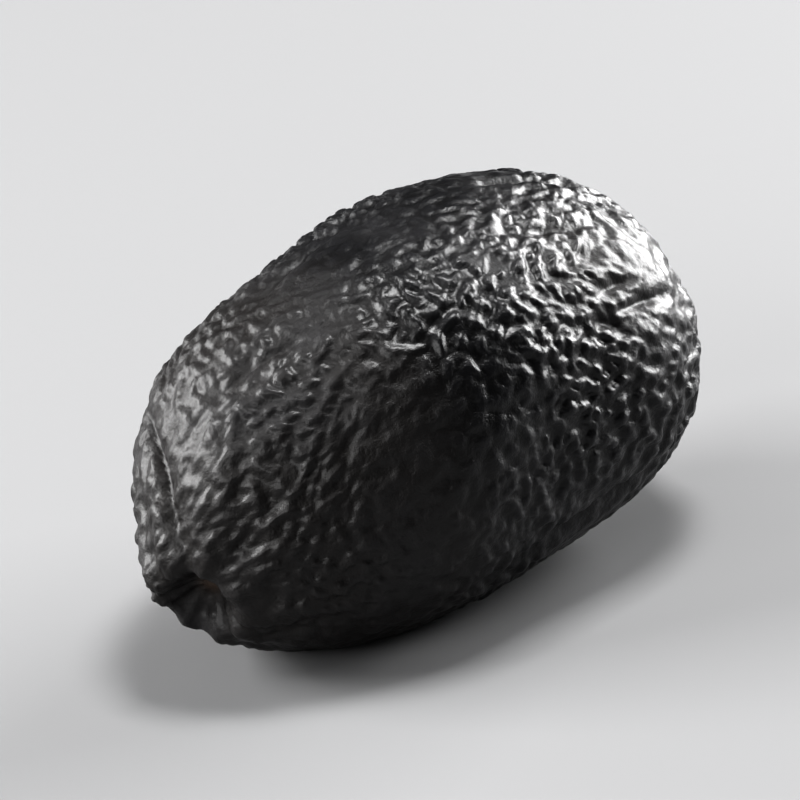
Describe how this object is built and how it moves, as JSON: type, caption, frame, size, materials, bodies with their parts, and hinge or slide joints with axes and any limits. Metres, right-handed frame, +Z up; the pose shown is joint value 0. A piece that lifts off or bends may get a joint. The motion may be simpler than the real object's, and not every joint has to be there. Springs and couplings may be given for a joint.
{
  "type": "dried jujube",
  "caption": "Whole black dried jujube lying on its side, with finely wrinkled glossy skin, a round hollow at the stem end and a dimple at the blossom end",
  "frame": {"origin": "on the surface that the fruit lies on, under the middle of its bounding box", "axes": "+X towards the blossom end along the length of the fruit, -X towards the stem end, +Z up"},
  "size_m": [0.0378, 0.023, 0.0222],
  "materials": {
    "skin": "satin"
  },
  "bodies": {
    "root": {"dried_fruit": "skin"}
  },
  "joints": []
}
